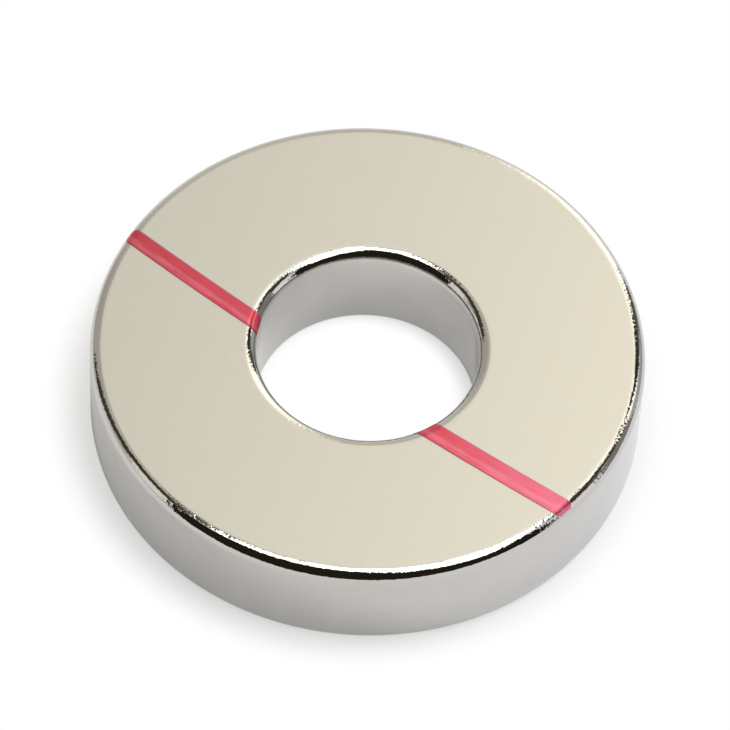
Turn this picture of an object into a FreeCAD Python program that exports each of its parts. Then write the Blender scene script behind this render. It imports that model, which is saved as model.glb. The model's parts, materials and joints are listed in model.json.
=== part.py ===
import FreeCAD, Part
import math
import os

# A sintered neodymium ring magnet with a bright nickel plate, and the stroke of a
# paint pen across its top face that marks how it is magnetised.
# Sizes are in millimetres. The origin is the centre of the bottom face, +Z runs up
# the bore's axis, and +X runs along the pen stroke.

# The ring
outer_diameter = 50.0
bore_diameter = 20.0
thickness = 10.0
# Pressed magnets are tumbled before plating, which rolls all four corners over
rim_edge_radius = 0.9
bore_edge_radius = 0.9

# The pen stroke, drawn by hand from rim to rim beside the bore's axis
stroke_width = 1.85
# From the bore's axis to the middle of the stroke, at its nearest
stroke_offset = 4.1
# The hand's swing bows the stroke a little, with its hollow side towards the axis
stroke_bow_radius = 480.0
# The dry paint's thickness
paint_film = 0.03
# Seen from above, the paint runs over the rolled edges and stops this far short of the walls
paint_to_rim = 0.35
paint_to_bore = 0.3
# The pen's round tip leaves rounded corners at the rim
pen_corner_radius = 0.5

outer_radius = outer_diameter / 2
bore_radius = bore_diameter / 2
UP = FreeCAD.Vector(0, 0, 1)


def quarter_round(centre_x, centre_z, radius, start_angle):
    """A quarter circle in the XZ plane, turning from +X towards +Z from start_angle."""
    points = []
    for turn in (0, 45, 90):
        angle = math.radians(start_angle + turn)
        x = centre_x + radius * math.cos(angle)
        z = centre_z + radius * math.sin(angle)
        points.append(FreeCAD.Vector(x, 0, z))
    return Part.Arc(*points).toShape()


def ring(skin):
    """The ring turned from its section, with its surface moved outwards by skin."""
    rim_x = outer_radius - rim_edge_radius
    bore_x = bore_radius + bore_edge_radius
    rim_round = rim_edge_radius + skin
    bore_round = bore_edge_radius + skin
    corners = [
        quarter_round(rim_x, rim_edge_radius, rim_round, -90),
        quarter_round(rim_x, thickness - rim_edge_radius, rim_round, 0),
        quarter_round(bore_x, thickness - bore_edge_radius, bore_round, 90),
        quarter_round(bore_x, bore_edge_radius, bore_round, 180),
    ]
    edges = []
    for number, corner in enumerate(corners):
        following = corners[(number + 1) % len(corners)]
        leaving = corner.valueAt(corner.LastParameter)
        arriving = following.valueAt(following.FirstParameter)
        edges.append(corner)
        edges.append(Part.makeLine(leaving, arriving))
    section = Part.Face(Part.Wire(edges))
    return section.revolve(FreeCAD.Vector(0, 0, 0), UP, 360)


def tube(inner_radius, outer_radius_, centre, bottom, height):
    """An upright tube, the plan shape of a band between two circles."""
    base = FreeCAD.Vector(centre.x, centre.y, bottom)
    outside = Part.makeCylinder(outer_radius_, height, base, UP)
    inside = Part.makeCylinder(inner_radius, height, base, UP)
    return outside.cut(inside)


def stroke_plan():
    """The two stretches of the stroke as upright prisms, one each side of the bore."""
    deepest = max(rim_edge_radius, bore_edge_radius)
    bottom = thickness - deepest
    height = deepest + 2 * paint_film
    rim_stop = outer_radius - paint_to_rim
    bore_stop = bore_radius + paint_to_bore
    swing_centre = FreeCAD.Vector(0, stroke_bow_radius - stroke_offset, 0)
    sweep = tube(
        stroke_bow_radius - stroke_width / 2,
        stroke_bow_radius + stroke_width / 2,
        swing_centre,
        bottom,
        height,
    )
    painted_zone = tube(bore_stop, rim_stop, FreeCAD.Vector(0, 0, 0), bottom, height)
    stretches = []
    for stretch in sweep.common(painted_zone).Solids:
        rim_corners = []
        for edge in stretch.Edges:
            upright = abs(edge.tangentAt(edge.FirstParameter).z) > math.cos(math.radians(1))
            middle = edge.CenterOfMass
            at_rim = math.hypot(middle.x, middle.y) > rim_stop - paint_film
            if upright and at_rim:
                rim_corners.append(edge)
        corner_radius = min(pen_corner_radius, stroke_width / 3)
        stretches.append(stretch.makeFillet(corner_radius, rim_corners))
    return stretches


def paint(magnet):
    """The dried film: a skin over the magnet, kept where the pen went."""
    skin = ring(paint_film).cut(magnet)
    return Part.makeCompound([skin.common(stretch).Solids[0] for stretch in stroke_plan()])


magnet_ring = ring(0)
pole_mark = paint(magnet_ring)

os.makedirs("parts", exist_ok=True)
magnet_ring.exportStep("parts/magnet_ring.step")
pole_mark.exportStep("parts/pole_mark.step")
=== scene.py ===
import json
import math

import bpy
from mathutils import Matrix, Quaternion, Vector


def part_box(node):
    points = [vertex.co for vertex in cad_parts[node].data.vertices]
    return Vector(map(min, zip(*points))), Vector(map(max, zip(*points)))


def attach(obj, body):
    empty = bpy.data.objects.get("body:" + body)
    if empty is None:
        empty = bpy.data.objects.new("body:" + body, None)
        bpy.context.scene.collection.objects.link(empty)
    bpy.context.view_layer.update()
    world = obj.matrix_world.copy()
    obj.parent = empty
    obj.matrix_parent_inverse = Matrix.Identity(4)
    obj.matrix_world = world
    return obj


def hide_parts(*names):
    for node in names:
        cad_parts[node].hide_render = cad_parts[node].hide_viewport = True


# A nickel-plated ring magnet with a red paint-pen stroke, lying on a white table.
# Metres. The ring stands on z = 0 with its bore on the Z axis, and the stroke runs along X.

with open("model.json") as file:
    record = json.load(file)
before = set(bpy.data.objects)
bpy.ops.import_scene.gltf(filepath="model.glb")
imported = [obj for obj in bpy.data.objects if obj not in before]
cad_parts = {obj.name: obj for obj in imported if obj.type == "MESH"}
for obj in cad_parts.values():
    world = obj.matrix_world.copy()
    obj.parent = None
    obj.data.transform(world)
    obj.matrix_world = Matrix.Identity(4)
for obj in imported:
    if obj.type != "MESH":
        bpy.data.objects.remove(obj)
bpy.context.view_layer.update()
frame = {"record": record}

MM = 0.001
UP = Vector((0, 0, 1))

# Sizes that come with the frame
ring_low, ring_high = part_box("magnet_ring")
mark_low, mark_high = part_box("pole_mark")
mounts = {mount["name"]: mount for mount in frame["record"]["mounts"]}
RIM_RADIUS = ring_high.x
THICKNESS = ring_high.z
BORE_RADIUS = mounts["bore"]["dims"]["r_mm"] * MM
EDGE_RADIUS = (THICKNESS - mounts["bore"]["dims"]["length_mm"] * MM) / 2
PAINT_FILM = mark_high.z - THICKNESS

# Tumbling starts to round the faces a little before the corners' plain arcs do
ROLL_REACH = EDGE_RADIUS / 0.75
ROLL_PROFILE = 0.587

# The pen stroke's plan, as it lies on the ring
# Each stretch as (width, distance from the bore's axis, radius of the hand's swing)
LEFT_STRETCH = (1.75 * MM, 4.26 * MM, 385 * MM)
RIGHT_STRETCH = (1.93 * MM, 4.10 * MM, 480 * MM)
RIM_STOP = RIM_RADIUS - 0.25 * MM
BORE_STOP = BORE_RADIUS + 0.1 * MM
PEN_CORNER = 0.5 * MM

# The camera stands where the photographer stood: front right, well above the table
CAMERA_AZIMUTH = math.radians(-55.492)
CAMERA_ELEVATION = math.radians(54.77)
CAMERA_DISTANCE = 0.52714
CAMERA_AIM = Vector((1.113 * MM, -1.951 * MM, THICKNESS))
CAMERA_ROLL = math.radians(2.942)
CAMERA_LENS = 290.0
FRONT = Vector((math.cos(CAMERA_AZIMUTH), math.sin(CAMERA_AZIMUTH), 0))
RIGHT = Vector((-FRONT.y, FRONT.x, 0))


# Small helpers

def start_clean():
    """Object mode, nothing selected."""
    if bpy.context.object and bpy.context.object.mode != "OBJECT":
        bpy.ops.object.mode_set(mode="OBJECT")
    bpy.ops.object.select_all(action="DESELECT")


def name_piece(name):
    piece = bpy.context.object
    piece.name = name
    piece.data.name = name
    return piece


def apply_modifier(piece, kind, **settings):
    modifier = piece.modifiers.new(kind.title(), kind)
    for key, value in settings.items():
        setattr(modifier, key, value)
    bpy.context.view_layer.objects.active = piece
    bpy.ops.object.modifier_apply(modifier=modifier.name)


def select_edges(piece, wanted):
    """In edit mode, selects the edges whose two ends pass the test, and nothing else."""
    bpy.ops.mesh.select_mode(type="EDGE")
    bpy.ops.mesh.select_all(action="DESELECT")
    bpy.ops.object.mode_set(mode="OBJECT")
    vertices = piece.data.vertices
    for edge in piece.data.edges:
        first, last = (vertices[index].co for index in edge.vertices)
        edge.select = wanted(first, last)
    bpy.ops.object.mode_set(mode="EDIT")


# Shader helpers

class Tree:
    """A node tree with short calls to add nodes and link them."""

    def __init__(self, tree):
        self.tree = tree
        self.nodes = tree.nodes

    def add(self, kind, inputs=None, **settings):
        node = self.nodes.new(kind)
        for key, value in settings.items():
            setattr(node, key, value)
        for key, value in (inputs or {}).items():
            self.feed(node.inputs[key], value)
        return node

    def feed(self, socket, value):
        if isinstance(value, bpy.types.NodeSocket):
            self.tree.links.new(value, socket)
        else:
            socket.default_value = value

    def math(self, operation, first, second=0.0, third=0.0, clamp=False):
        inputs = {0: first, 1: second, 2: third}
        return self.add("ShaderNodeMath", inputs, operation=operation, use_clamp=clamp).outputs[0]

    def swell(self, noise, height):
        """A noise turned into heights about its middle."""
        return self.math("MULTIPLY", self.math("SUBTRACT", noise, 0.5), height)

    def scale(self, vector, factor):
        node = self.add("ShaderNodeVectorMath", {0: vector, "Scale": factor}, operation="SCALE")
        return node.outputs[0]

    def dot(self, first, second):
        inputs = {0: first, 1: second}
        node = self.add("ShaderNodeVectorMath", inputs, operation="DOT_PRODUCT")
        return node.outputs["Value"]

    def ramp(self, value, low, high, to_low=0.0, to_high=1.0, curve="SMOOTHSTEP"):
        inputs = {
            "Value": value, "From Min": low, "From Max": high, "To Min": to_low, "To Max": to_high,
        }
        node = self.add("ShaderNodeMapRange", inputs, interpolation_type=curve)
        return node.outputs["Result"]

    def mix(self, share, first, second):
        """The first colour, with this share of the second. Sockets 0, 6 and 7 are the colour ones."""
        inputs = {0: share, 6: first, 7: second}
        return self.add("ShaderNodeMix", inputs, data_type="RGBA", clamp_factor=True).outputs[2]

    def noise(self, vector, scale, detail=2.0):
        inputs = {"Vector": vector, "Scale": scale, "Detail": detail}
        return self.add("ShaderNodeTexNoise", inputs).outputs["Fac"]

    def emboss(self, shader, height):
        """Gives a shader's surface a skin, with its height in metres."""
        bump = self.add("ShaderNodeBump", {"Strength": 1.0, "Distance": 1.0, "Height": height})
        self.feed(shader.inputs["Normal"], bump.outputs[0])


def new_material(name):
    material = bpy.data.materials.new(name)
    material.use_nodes = True
    material.node_tree.nodes.clear()
    tree = Tree(material.node_tree)
    shader = tree.add("ShaderNodeBsdfPrincipled")
    tree.add("ShaderNodeOutputMaterial", {"Surface": shader.outputs[0]})
    return material, tree, shader


# The ring

RING_SEGMENTS = 384
ROLL_SEGMENTS = 20


def make_ring():
    """Two circles bridged to a washer, drawn up to the ring's thickness, all four corners rolled."""
    start_clean()
    bpy.ops.mesh.primitive_circle_add(vertices=RING_SEGMENTS, radius=RIM_RADIUS)
    ring = name_piece("ring_body")
    bpy.ops.object.mode_set(mode="EDIT")
    bpy.ops.mesh.primitive_circle_add(vertices=RING_SEGMENTS, radius=BORE_RADIUS)
    bpy.ops.mesh.select_all(action="SELECT")
    bpy.ops.mesh.bridge_edge_loops()
    bpy.ops.mesh.select_all(action="SELECT")
    bpy.ops.mesh.extrude_region_move(TRANSFORM_OT_translate={"value": (0, 0, THICKNESS)})
    longest_side = 1.1 * 2 * math.pi * RIM_RADIUS / RING_SEGMENTS

    def is_corner(first, last):
        """A side of one of the four circles, and neither a spoke nor an upright."""
        level = abs(first.z - last.z) < PAINT_FILM
        return level and (first - last).length < longest_side

    select_edges(ring, is_corner)
    bpy.ops.mesh.bevel(
        offset=ROLL_REACH, segments=ROLL_SEGMENTS, profile=ROLL_PROFILE, clamp_overlap=False
    )
    bpy.ops.mesh.select_all(action="SELECT")
    bpy.ops.mesh.normals_make_consistent(inside=False)
    bpy.ops.object.mode_set(mode="OBJECT")
    bpy.ops.object.shade_smooth()
    apply_modifier(ring, "WEIGHTED_NORMAL", mode="FACE_AREA", keep_sharp=False)
    return ring


# The pen stroke

STROKE_LANES = 18
STROKE_STEP = 0.1 * MM
ROUND_CUTS = 5


def trim(point, outward):
    """Cuts the mesh in edit mode with an upright plane, and drops what lies outward of it."""
    bpy.ops.mesh.select_all(action="SELECT")
    bpy.ops.mesh.bisect(
        plane_co=point, plane_no=outward.normalized(), clear_outer=True, threshold=0.001 * MM
    )


def make_stroke(name, side, hand, ring):
    """One stretch of the stroke: a short line swung out from beside the bore to past the rim,
    trimmed at both, its far corners rounded, then laid on the ring and given the film's thickness."""
    width, offset, bow = hand
    swing_centre = Vector((0, bow - offset, 0))
    start_clean()
    bpy.ops.mesh.primitive_plane_add(size=width, location=(0, -offset, THICKNESS + ROLL_REACH))
    stroke = name_piece(name)
    bpy.ops.object.transform_apply(location=True, rotation=True, scale=True)
    bpy.ops.object.mode_set(mode="EDIT")
    select_edges(stroke, lambda first, last: first.x * side < 0 and last.x * side < 0)
    bpy.ops.mesh.delete(type="VERT")
    bpy.ops.mesh.select_all(action="SELECT")
    bpy.ops.mesh.subdivide(number_cuts=STROKE_LANES - 1)
    bpy.ops.mesh.select_all(action="SELECT")
    steps = round(RIM_RADIUS / STROKE_STEP)
    swing = -side * RIM_RADIUS / bow
    bpy.ops.mesh.spin(steps=steps, angle=swing, center=swing_centre, axis=UP)

    # At the bore the paint stops along its edge
    half = width / 2
    near = offset - BORE_RADIUS**2 / (2 * bow) - half
    far = near + width
    first = Vector((side * math.sqrt(BORE_STOP**2 - near**2), -near, 0))
    last = Vector((side * math.sqrt(BORE_STOP**2 - far**2), -far, 0))
    across = last - first
    trim(first, Vector((-side * abs(across.y), abs(across.x), 0)))

    # At the rim it stops along the edge too, with the round corners of the pen's tip
    turn = RIM_STOP / bow
    along = Vector((side * math.cos(turn), math.sin(turn), 0))
    end_y = -offset + RIM_STOP**2 / (2 * bow)
    end = Vector((side * math.sqrt(RIM_STOP**2 - end_y**2), end_y, 0))
    to_rim = end.normalized()
    for edge in (1, -1):
        to_side = edge * side * Vector((along.y, -along.x, 0))
        corner = end + half * to_side
        corner -= along * (corner - end).dot(to_rim) / along.dot(to_rim)
        middle = corner - PEN_CORNER * (to_rim + to_side) / (1 + to_rim.dot(to_side))
        for cut in range(ROUND_CUTS):
            share = (cut + 1) / ROUND_CUTS
            outward = to_side.lerp(to_rim, share).normalized()
            trim(middle + PEN_CORNER * outward, outward)
    bpy.ops.object.mode_set(mode="OBJECT")

    # How far across the stroke each point lies, from -1 on its hollow side to 1
    lanes = stroke.data.attributes.new("lane", "FLOAT", "POINT")
    for vertex in stroke.data.vertices:
        from_middle = (vertex.co.xy - swing_centre.xy).length - bow
        lanes.data[vertex.index].value = from_middle / half

    apply_modifier(
        stroke, "SHRINKWRAP", target=ring, wrap_method="PROJECT",
        use_project_z=True, use_negative_direction=True, use_positive_direction=False,
    )
    bpy.ops.object.mode_set(mode="EDIT")
    bpy.ops.mesh.select_all(action="SELECT")
    bpy.ops.mesh.normals_make_consistent(inside=False)
    bpy.ops.object.mode_set(mode="OBJECT")
    if stroke.data.polygons[0].normal.z < 0:
        bpy.ops.object.mode_set(mode="EDIT")
        bpy.ops.mesh.select_all(action="SELECT")
        bpy.ops.mesh.flip_normals()
        bpy.ops.object.mode_set(mode="OBJECT")
    apply_modifier(stroke, "SOLIDIFY", thickness=PAINT_FILM, offset=1.0)
    bpy.ops.object.shade_smooth_by_angle(angle=math.radians(40))
    return stroke


# The plating. Colours are linear, noise scales are waves to the metre, heights are in metres.

PLATE_DULL = (0.670, 0.655, 0.628, 1)
PLATE_BRIGHT = (0.688, 0.674, 0.650, 1)
# The ground faces scatter part of the light, which shows the nickel's own warm tone
GROUND_FACE = (0.72, 0.692, 0.616, 1)
GROUND_TINT = 0.85
GROUND_SCATTER = 0.56
MIRROR_ROUGHNESS = 0.03
SATIN_ROUGHNESS = (0.10, 0.14)
# Pin pricks are dents, with a painted glint in their colour
PRICK_GLINT_COLOUR = (0.86, 0.85, 0.81, 1)
PRICK_GLINT_SHARE = 0.35
# A prick's radius as a share of the space between pricks, and its depth from least to most
PRICK_SIZE = 0.055
PRICK_DEPTH = (-0.04 * MM, -0.20 * MM)
WAVE_HEIGHT = 0.0008 * MM
EDGE_WAVE_HEIGHT = 0.032 * MM
PEBBLE_HEIGHT = 0.014 * MM


def nickel_plate():
    """Bright nickel: satin on the ground flats, mirror-like and pebbled on the rolled edges."""
    material, tree, shader = new_material("nickel_plate")
    coordinates = tree.add("ShaderNodeTexCoord").outputs
    place = coordinates["Object"]
    # How level the surface lies: 1 on the two faces, 0 on the upright walls
    level = tree.math("ABSOLUTE", tree.dot(coordinates["Normal"], UP))
    on_face = tree.ramp(level, 0.992, 0.9997)
    on_wall = tree.ramp(level, 0.20, 0.04)
    on_flat = tree.math("MAXIMUM", on_face, on_wall)
    on_edge = tree.math("SUBTRACT", 1.0, on_flat)

    cloud = tree.noise(place, 0.3 / MM, detail=3.0)
    colour = tree.mix(tree.ramp(cloud, 0.35, 0.65), PLATE_DULL, PLATE_BRIGHT)
    colour = tree.mix(tree.math("MULTIPLY", on_face, GROUND_TINT), colour, GROUND_FACE)

    # Pin pricks here and there on the faces, each with its own size and depth, and a painted glint
    # that lightens their colour
    cells = {"Vector": place, "Scale": 0.45 / MM}
    pricks = tree.add("ShaderNodeTexVoronoi", cells, voronoi_dimensions="2D").outputs
    size = tree.ramp(tree.dot(pricks["Color"], (1, 0, 0)), 0.30, 1.0, 0.0, PRICK_SIZE)
    depth = tree.ramp(tree.dot(pricks["Color"], (0, 1, 0)), 0.5, 1.0, *PRICK_DEPTH)
    prick = tree.math("SUBTRACT", size, pricks["Distance"], clamp=True)
    prick = tree.math("MULTIPLY", prick, on_face)
    # Painted glint: the pricks' colour is lightened towards near white
    prick_glint = tree.math("MULTIPLY", tree.ramp(prick, 0.0, 0.015), PRICK_GLINT_SHARE)
    tree.feed(shader.inputs["Base Color"], tree.mix(prick_glint, colour, PRICK_GLINT_COLOUR))
    tree.feed(shader.inputs["Metallic"], tree.math("MULTIPLY_ADD", on_face, -GROUND_SCATTER, 1.0))

    grain = tree.noise(place, 4.0 / MM)
    satin = tree.ramp(grain, 0.3, 0.7, *SATIN_ROUGHNESS)
    above_mirror = tree.math("SUBTRACT", satin, MIRROR_ROUGHNESS)
    roughness = tree.math("MULTIPLY_ADD", on_flat, above_mirror, MIRROR_ROUGHNESS)
    tree.feed(shader.inputs["Roughness"], roughness)

    # Slow waves in the plate, a pebbled skin on the edges, and the pricks
    waves = tree.math("MULTIPLY", tree.noise(place, 0.6 / MM, detail=0.0), WAVE_HEIGHT)
    edge_waves = tree.swell(tree.noise(place, 0.5 / MM, detail=3.0), EDGE_WAVE_HEIGHT)
    pebbles = tree.swell(tree.noise(place, 3.2 / MM, detail=1.5), PEBBLE_HEIGHT)
    edge_skin = tree.math("MULTIPLY", tree.math("ADD", edge_waves, pebbles), on_edge)
    height = tree.math("ADD", waves, edge_skin)
    tree.emboss(shader, tree.math("MULTIPLY_ADD", prick, depth, height))
    return material


# The ink

# The ink's ends are painted light and shade: a shaded left end and a lit right end
INK_SHADED_LEFT_END = (0.63, 0.049, 0.075, 1)
INK_MIDDLE = (0.72, 0.062, 0.109, 1)
INK_LIT_RIGHT_END = (0.85, 0.160, 0.27, 1)
# What the pen's lanes add: a pale lane beside the middle and deep streaks. Along the two edges, a
# painted bluish sheen on the hollow side and a painted shade line on the other
INK_PALE = (0.95, 0.35, 0.55, 1)
INK_DEEP = (0.50, 0.02, 0.035, 1)
INK_EDGE_SHEEN = (0.42, 0.22, 0.42, 1)
INK_EDGE_SHADE = (0.40, 0.03, 0.06, 1)
PALE_SHARE = 0.30
DEEP_SHARE = 0.18
EDGE_SHEEN_SHARE = 0.55
EDGE_SHADE_SHARE = 0.65
# From the stroke's middle, as a share of half its width
PALE_LANE = 0.42
INK_METALLIC = 0.60
INK_ROUGHNESS = (0.10, 0.18)
INK_SKIN_HEIGHT = 0.004 * MM


def red_paint():
    """Paint-pen ink: a clear red dye over the bright plate, in streaks, painted paler towards the
    right as painted light and darker at the left end as painted shade.
    """
    material, tree, shader = new_material("red_paint")
    place = tree.add("ShaderNodeTexCoord").outputs["Object"]
    lane = tree.add("ShaderNodeAttribute", attribute_name="lane").outputs["Fac"]
    along = tree.dot(place, (1, 0, 0))
    # Painted shade at the left end and painted light towards the right, standing for the light the
    # plate beneath mirrors
    out_of_left_shade = tree.ramp(along, -24 * MM, -17 * MM)
    lit_to_right = tree.ramp(along, 11 * MM, 23 * MM, curve="LINEAR")
    colour = tree.mix(out_of_left_shade, INK_SHADED_LEFT_END, INK_MIDDLE)
    colour = tree.mix(lit_to_right, colour, INK_LIT_RIGHT_END)

    # Streaks are drawn out along the stroke
    drawn_out = tree.math("MULTIPLY", along, 0.14 / MM)
    flow = tree.add("ShaderNodeCombineXYZ", {"X": drawn_out, "Y": lane}).outputs[0]
    streaks = tree.noise(flow, 2.2)
    from_lane = tree.math("ABSOLUTE", tree.math("SUBTRACT", lane, PALE_LANE))
    pale = tree.ramp(from_lane, 0.50, 0.08)
    pale = tree.math("MULTIPLY", pale, tree.ramp(streaks, 0.32, 0.62, 0.3, 1.0))
    deep = tree.ramp(streaks, 0.62, 0.35)
    # Painted light along the edges: a bluish sheen on the hollow side, a shade line on the other
    edge_sheen = tree.ramp(lane, -0.78, -0.95)
    edge_shade = tree.ramp(lane, 0.84, 0.97)
    for mask, share, ink in (
        (pale, PALE_SHARE, INK_PALE),
        (deep, DEEP_SHARE, INK_DEEP),
        (edge_sheen, EDGE_SHEEN_SHARE, INK_EDGE_SHEEN),
        (edge_shade, EDGE_SHADE_SHARE, INK_EDGE_SHADE),
    ):
        colour = tree.mix(tree.math("MULTIPLY", mask, share), colour, ink)
    tree.feed(shader.inputs["Base Color"], colour)
    tree.feed(shader.inputs["Roughness"], tree.ramp(streaks, 0.3, 0.7, *INK_ROUGHNESS))
    shader.inputs["Metallic"].default_value = INK_METALLIC
    shader.inputs["Coat Weight"].default_value = 0.6
    shader.inputs["Coat Roughness"].default_value = 0.05
    tree.emboss(shader, tree.swell(tree.noise(flow, 5.0), INK_SKIN_HEIGHT))
    return material


# The table

TABLE_CLOTH = (0.88, 0.88, 0.88, 1)
# How much of the table's look is plain white: at the ring's foot, and as the plating mirrors it
WHITE_AT_FOOT = 0.60
WHITE_MIRRORED = 0.29
# Painted light on the table as the plating mirrors it: more towards the right and in the bore, cooler
# at the right
PAINTED_LIGHT_AT_RIGHT = 0.22
PAINTED_LIGHT_IN_BORE = 0.04
COOL_PAINTED_LIGHT = (0.92, 0.94, 1.0, 1)
# The foot's shadow lies a little to the left and back of the ring
SHADOW_SHIFT = -0.6 * MM * (RIGHT + FRONT)
# In the plating the table ends some way in front of the ring, and the tent's open side begins
TABLE_FRONT = 75 * MM
TABLE_FRONT_FADE = 50 * MM
DARK_OPENING = (0.018, 0.015, 0.010)


def make_floor():
    start_clean()
    bpy.ops.mesh.primitive_circle_add(vertices=96, radius=3.0, fill_type="NGON")
    floor = name_piece("table_top")
    material = bpy.data.materials.new("white_table")
    material.use_nodes = True
    material.node_tree.nodes.clear()
    tree = Tree(material.node_tree)
    place = tree.add("ShaderNodeNewGeometry").outputs["Position"]
    reach = tree.add(
        "ShaderNodeVectorMath", {0: place, 1: SHADOW_SHIFT}, operation="DISTANCE",
    ).outputs["Value"]
    lit_to_right = tree.ramp(tree.dot(place, RIGHT), 0.0, 30 * MM)
    ray = tree.add("ShaderNodeLightPath").outputs
    straight = tree.math("MAXIMUM", ray["Is Camera Ray"], ray["Is Transmission Ray"])
    mirror = ray["Is Glossy Ray"]

    # The shadow is only a narrow band round the foot, and the table is white beyond it
    clear_outside = tree.ramp(reach, RIM_RADIUS - 0.4 * MM, RIM_RADIUS + 4 * MM)
    clear_inside = tree.ramp(reach, BORE_RADIUS + 0.8 * MM, BORE_RADIUS - 1.6 * MM)
    clear = tree.math("MAXIMUM", clear_outside, clear_inside)
    seen = tree.math("MULTIPLY_ADD", clear, 1.0 - WHITE_AT_FOOT, WHITE_AT_FOOT)

    # The plating mirrors a dimmer table, with the dark gap under the rolled foot, and painted light
    # that makes it lighter and cooler towards the right and lighter in the bore
    out_from_rim = tree.ramp(reach, RIM_RADIUS - 0.9 * MM, RIM_RADIUS + 0.4 * MM)
    in_bore = tree.ramp(reach, BORE_RADIUS + 0.9 * MM, BORE_RADIUS - 0.4 * MM)
    mirrored = tree.math("MULTIPLY_ADD", lit_to_right, PAINTED_LIGHT_AT_RIGHT, WHITE_MIRRORED)
    mirrored = tree.math("MULTIPLY_ADD", in_bore, PAINTED_LIGHT_IN_BORE, mirrored)
    mirrored = tree.math("MULTIPLY", mirrored, tree.math("MAXIMUM", out_from_rim, in_bore))
    mirrored = tree.math("MULTIPLY", mirror, mirrored)

    # Painted cool light towards the table's right, seen only in the plating
    painted_tint = tree.mix(tree.math("MULTIPLY", lit_to_right, mirror), (1, 1, 1, 1), COOL_PAINTED_LIGHT)
    white = tree.add("ShaderNodeEmission", {"Color": painted_tint, "Strength": 1.0})
    cloth = tree.add("ShaderNodeBsdfDiffuse", {"Color": TABLE_CLOTH})
    share = tree.math("MULTIPLY_ADD", straight, seen, mirrored, clamp=True)
    table = tree.add("ShaderNodeMixShader", {0: share, 1: cloth.outputs[0], 2: white.outputs[0]})

    gone = tree.ramp(tree.dot(place, FRONT), TABLE_FRONT, TABLE_FRONT + TABLE_FRONT_FADE)
    gone = tree.math("MULTIPLY", gone, mirror)
    opening = tree.add("ShaderNodeEmission", {"Color": (*DARK_OPENING, 1), "Strength": 1.0})
    shown = tree.add("ShaderNodeMixShader", {0: gone, 1: table.outputs[0], 2: opening.outputs[0]})
    tree.add("ShaderNodeOutputMaterial", {"Surface": shown.outputs[0]})
    floor.data.materials.append(material)


# The studio tent

def studio_direction(azimuth, elevation):
    """A direction seen from the ring, in degrees: azimuth from the front towards the right."""
    turn, lift = math.radians(azimuth), math.radians(elevation)
    level = math.cos(turn) * FRONT + math.sin(turn) * RIGHT
    return math.cos(lift) * level + math.sin(lift) * UP


def inside_card(tree, direction, corners, softness):
    """1 where a direction meets the flat card with these corners, fading out across its edges."""
    points = [studio_direction(*corner) for corner in corners]
    middle = sum(points, Vector())
    share = 1.0
    for start, end in zip(points, points[1:] + points[:1]):
        inward = start.cross(end).normalized()
        if inward.dot(middle) < 0:
            inward.negate()
        edge = tree.math("MULTIPLY_ADD", tree.dot(direction, inward), 1 / softness, 0.5, clamp=True)
        share = tree.math("MINIMUM", share, edge)
    return share


# The tent round the table: its flat cards, later ones in front of earlier ones.
# Each has its corners as azimuth and elevation, its light and how softly it ends.
STUDIO_CARDS = {
    "left shade": (((-112, 35), (-98, 15), (-83, 16), (-106, 54)), (0.50, 0.47, 0.42), 0.06),
    "left card": (((-105, 54), (-83, 16), (-66, 14), (-85, 60)), (0.88, 0.86, 0.82), 0.05),
    "back left shade": (
        ((-163, 50), (-150, 60), (-132, 60), (-112, 30), (-112, 0), (-144, 0), (-156, 28)),
        (0.455, 0.44, 0.395), 0.26,
    ),
    "left arc": (
        ((-122, 15), (-108, 17), (-101, 40), (-97, 54), (-125, 63), (-140, 61), (-130, 46)),
        (0.06, 0.055, 0.035), 0.04,
    ),
    "left arc end": (
        ((-140, 61), (-97, 54), (-76, 52), (-80, 60), (-105, 67), (-142, 65)),
        (0.06, 0.055, 0.035), 0.03,
    ),
    "right shade": (
        ((114, 47), (97, 41), (86, 0), (112, 3), (117, 37)), (0.24, 0.23, 0.22), 0.05,
    ),
    "right card": (((90, 54), (72, 5), (86, 0), (97, 41)), (0.95, 0.92, 0.88), 0.05),
    "right line": (((76, 60), (72, 12), (69, 11), (72, 59)), (0.06, 0.05, 0.04), 0.03),
    "right arc": (((133, 68), (88, 55), (97, 39), (132, 57)), (0.05, 0.045, 0.04), 0.03),
    "right arc top": (((147, 65), (105, 60), (117, 37), (145, 57)), (0.06, 0.055, 0.05), 0.04),
    "back right shade": (((142, 36), (118, 36), (112, 0), (142, 0)), (0.42, 0.42, 0.42), 0.10),
    "back line": (
        ((165, 54), (148, 57), (134, 42), (137, 34), (158, 45)), (0.03, 0.03, 0.025), 0.03,
    ),
    "back line end": (
        ((153, 45), (138, 38), (135, 15), (144, 10), (147, 22)), (0.10, 0.10, 0.08), 0.04,
    ),
    "open front": (((-63, -2), (-93, 65), (82, 56), (64, -2)), DARK_OPENING, 0.03),
    "panel frame": (
        ((-106, 66), (-170, 60.5), (180, 61), (153, 61), (150, 64), (-108, 76)),
        (0.10, 0.085, 0.05), 0.02,
    ),
    "panel left": (((-179, 64), (-171, 65), (-95, 70), (112, 89)), (3.0, 2.94, 2.82), 0.025),
    "panel right": (
        (
            (-179, 64), (112, 89), (31, 75), (45, 61), (58, 52),
            (78, 61), (102, 65), (133, 66), (161, 64),
        ),
        (3.0, 3.0, 3.0), 0.025,
    ),
}


# The cloth sides, a little bluer on the right
LEFT_CLOTH = (0.76, 0.75, 0.72, 1)
RIGHT_CLOTH = (0.84, 0.85, 0.89, 1)
# The warm cloth behind, with its least and most light
BACK_CLOTH = (1.0, 0.96, 0.818)
BACK_LIGHT = (0.66, 1.9)


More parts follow.
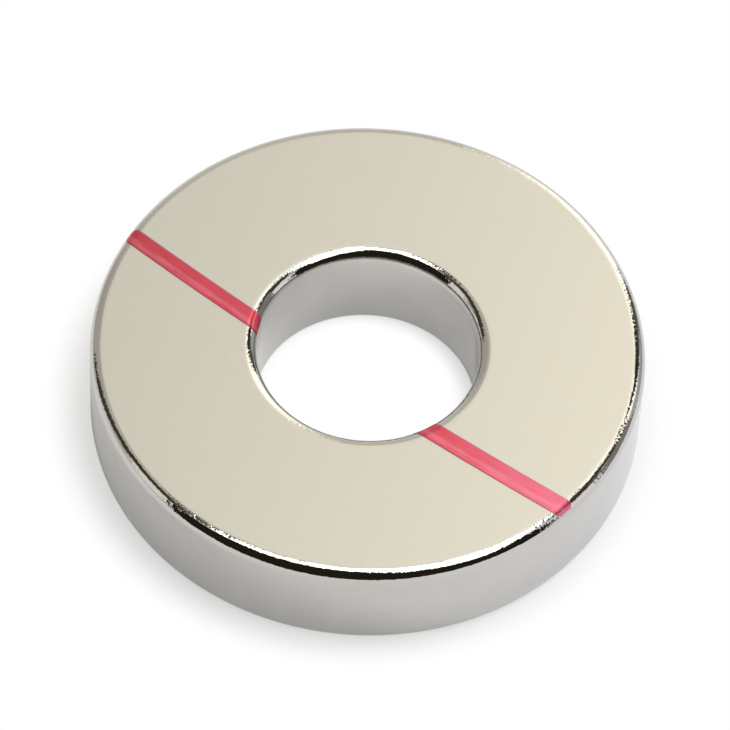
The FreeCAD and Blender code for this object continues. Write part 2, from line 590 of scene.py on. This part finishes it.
def make_world():
    """A tent of pale cloth and cards, with a bright panel overhead and a dark open front.

    The camera sees plain white in its place. The plating mirrors the tent itself.
    """
    world = bpy.data.worlds.new("light_tent")
    bpy.context.scene.world = world
    world.use_nodes = True
    world.node_tree.nodes.clear()
    tree = Tree(world.node_tree)
    direction = tree.add("ShaderNodeTexCoord").outputs["Generated"]
    across = tree.dot(direction, RIGHT)
    ahead = tree.dot(direction, FRONT)

    sides = tree.mix(tree.ramp(across, -0.3, 0.9), LEFT_CLOTH, RIGHT_CLOTH)
    # The cloth behind is lighter towards the right and the panel
    light = tree.math("MULTIPLY_ADD", ahead, 3.1, 2.80)
    light = tree.math("MULTIPLY_ADD", across, 6.5, light)
    light = tree.math("MAXIMUM", light, BACK_LIGHT[0])
    light = tree.math("MINIMUM", light, BACK_LIGHT[1])
    in_back = tree.ramp(tree.dot(direction, studio_direction(180, 50)), 0.70, 0.90)
    colour = tree.mix(in_back, sides, tree.scale(BACK_CLOTH, light))
    for corners, light, softness in STUDIO_CARDS.values():
        colour = tree.mix(inside_card(tree, direction, corners, softness), colour, (*light, 1))

    ray = tree.add("ShaderNodeLightPath").outputs
    straight = tree.math("MAXIMUM", ray["Is Camera Ray"], ray["Is Transmission Ray"])
    backdrop = tree.add("ShaderNodeBackground", {"Color": (1, 1, 1, 1), "Strength": 1.0})
    tent = tree.add("ShaderNodeBackground", {"Color": colour, "Strength": 1.0})
    shown = tree.add(
        "ShaderNodeMixShader",
        {0: straight, 1: tent.outputs[0], 2: backdrop.outputs[0]},
    )
    tree.add("ShaderNodeOutputWorld", {"Surface": shown.outputs[0]})


KEY_PLACE = 0.5 * RIGHT - 0.25 * FRONT + 0.75 * UP
KEY_SIZE = 0.35
KEY_ENERGY = 3.08


def make_key_light():
    """A soft lamp from the right that throws the ring's faint shadow to the left and front."""
    start_clean()
    bpy.ops.object.light_add(type="AREA", location=KEY_PLACE)
    lamp = bpy.context.object
    lamp.name = "key_lamp"
    lamp.data.shape = "DISK"
    lamp.data.size = KEY_SIZE
    lamp.data.energy = KEY_ENERGY
    lamp.rotation_mode = "QUATERNION"
    lamp.rotation_quaternion = (-KEY_PLACE).to_track_quat("-Z", "Y")
    lamp.visible_glossy = False
    lamp.visible_camera = False


def make_camera():
    start_clean()
    back = math.cos(CAMERA_ELEVATION) * FRONT + math.sin(CAMERA_ELEVATION) * UP
    bpy.ops.object.camera_add(location=CAMERA_AIM + CAMERA_DISTANCE * back)
    camera = bpy.context.object
    camera.name = "photo_camera"
    camera.rotation_mode = "QUATERNION"
    camera.rotation_quaternion = (-back).to_track_quat("-Z", "Y") @ Quaternion(UP, CAMERA_ROLL)
    camera.data.sensor_width = 36.0
    camera.data.lens = CAMERA_LENS
    camera.data.clip_start = 0.01
    camera.data.clip_end = 20.0
    bpy.context.scene.camera = camera


ring = make_ring()
ring.data.materials.append(nickel_plate())
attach(ring, "root")
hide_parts("magnet_ring")

paint = red_paint()
left_stretch = make_stroke("paint_left", -1, LEFT_STRETCH, ring)
right_stretch = make_stroke("paint_right", 1, RIGHT_STRETCH, ring)
for stretch in (left_stretch, right_stretch):
    stretch.data.materials.append(paint)
    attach(stretch, "root")
    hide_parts("pole_mark")

make_camera()
make_floor()
make_world()
make_key_light()
bpy.context.scene.view_settings.view_transform = "Standard"
